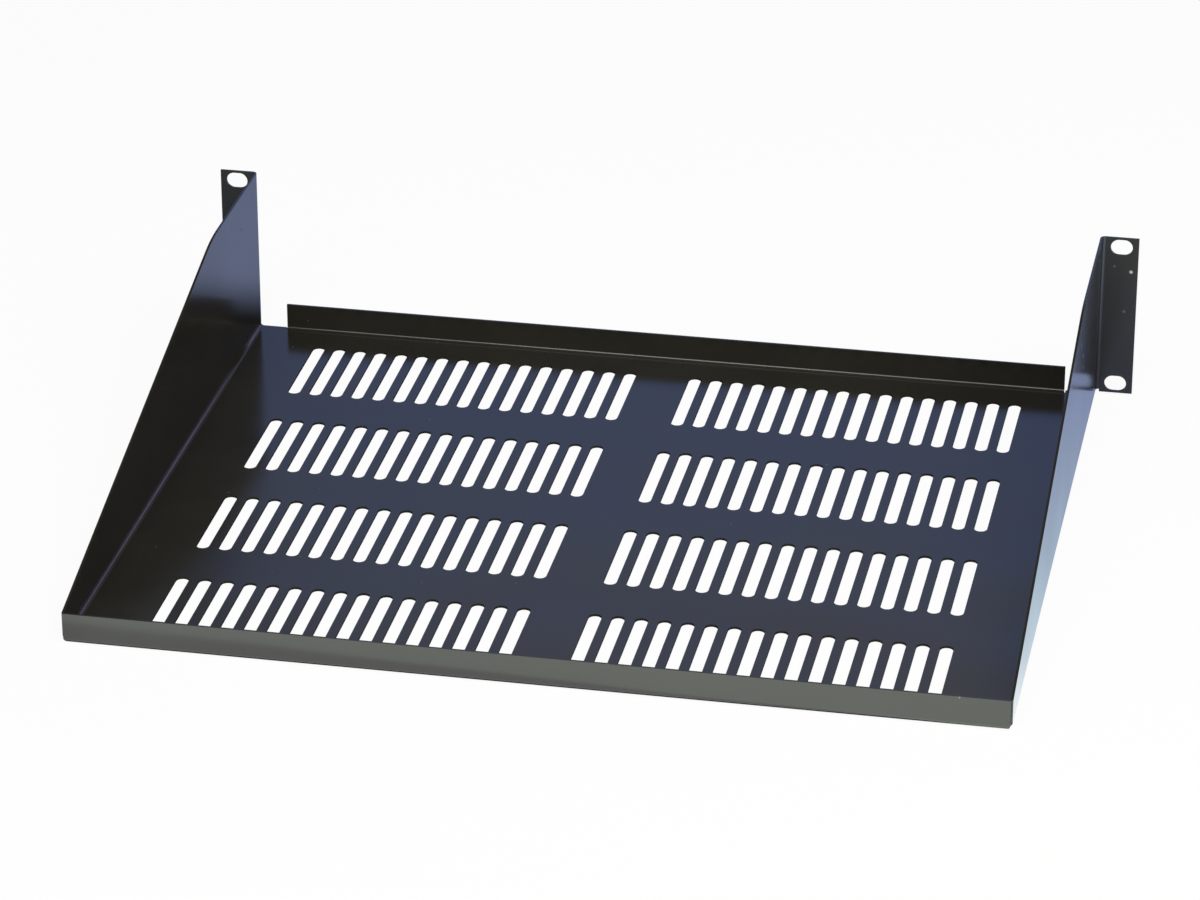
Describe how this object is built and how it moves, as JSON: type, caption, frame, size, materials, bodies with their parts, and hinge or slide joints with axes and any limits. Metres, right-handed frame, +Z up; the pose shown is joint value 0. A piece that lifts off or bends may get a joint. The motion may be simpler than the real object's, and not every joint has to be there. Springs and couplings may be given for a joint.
{
  "type": "cantilever rack shelf",
  "caption": "Black vented steel cantilever shelf for a 19-inch rack: slotted floor, low lips at both ends, tapering side gussets and slotted mounting ears.",
  "frame": {"origin": "middle of the footprint, on the underside of the floor", "axes": "+X across the rack, from the left ear to the right ear seen from the free end; +Y from the free end towards the mounting ears; +Z up, from the floor's underside"},
  "size_m": [0.4826, 0.368, 0.0881],
  "materials": {
    "black_powder_coat": "satin, finely textured powder coat"
  },
  "bodies": {
    "root": {"rack_shelf": "black_powder_coat"}
  },
  "joints": []
}
